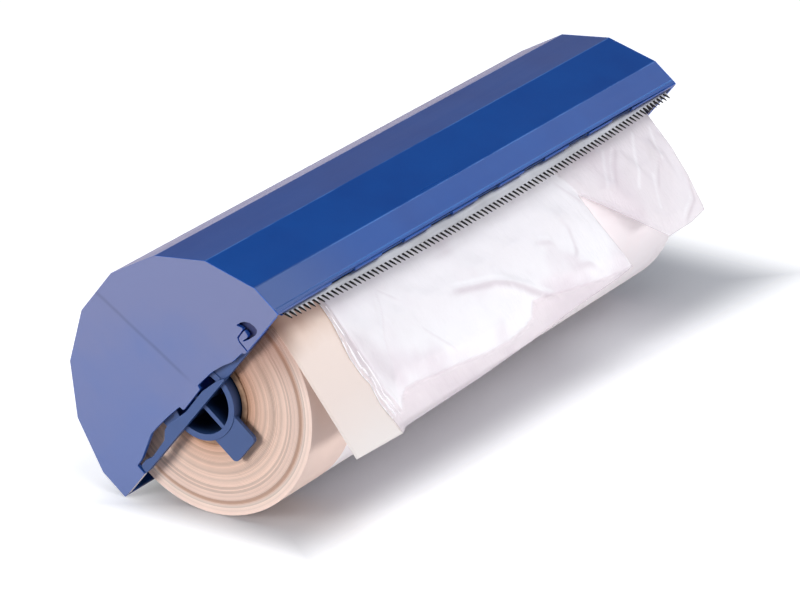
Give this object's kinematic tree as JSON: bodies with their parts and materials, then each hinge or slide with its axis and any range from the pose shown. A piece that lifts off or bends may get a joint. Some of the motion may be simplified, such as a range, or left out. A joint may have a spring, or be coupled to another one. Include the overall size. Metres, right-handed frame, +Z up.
{
  "type": "masking film and paper dispenser",
  "caption": "Hand dispenser for pre-taped masking film: faceted half-round cover with a toothed cutter, end plates, snap-in hubs and a part-used roll with its free end hanging.",
  "frame": {"origin": "on the floor under the middle of the dispenser, which lies on its roll and on the cover's back edge as in the picture", "axes": "+X along the roll, from the pictured end to the far end; +Y from the cutter side to the back edge; +Z up"},
  "size_m": [0.24, 0.1036, 0.0862],
  "materials": {
    "cover_plastic": "satin",
    "plate_plastic": "satin",
    "hub_plastic": "satin",
    "cutter_steel": "satin",
    "grey_card": "matte",
    "paper_tape": "matte",
    "clear_film": "satin"
  },
  "bodies": {
    "housing": {"cover_shell": "cover_plastic", "left_end_plate": "plate_plastic", "right_end_plate": "plate_plastic", "cutter_blade": "cutter_steel", "blade_retainer": "cover_plastic"},
    "cradle": {"left_hub": "hub_plastic", "right_hub": "hub_plastic", "free_tape": "paper_tape", "free_film": "clear_film"},
    "roll": {"core_tube": "grey_card", "tape_winding": "paper_tape", "film_winding": "clear_film"}
  },
  "joints": [
    {"name": "hub_release", "type": "slide", "parent": "housing", "child": "cradle", "axis": [0, -0.7965, -0.6047], "range_m": [0, 0.01]},
    {"name": "roll_spin", "type": "hinge", "parent": "cradle", "child": "roll", "pos_m": [0, 0.00384, 0.03825], "axis": [1, 0, 0], "continuous": true}
  ]
}
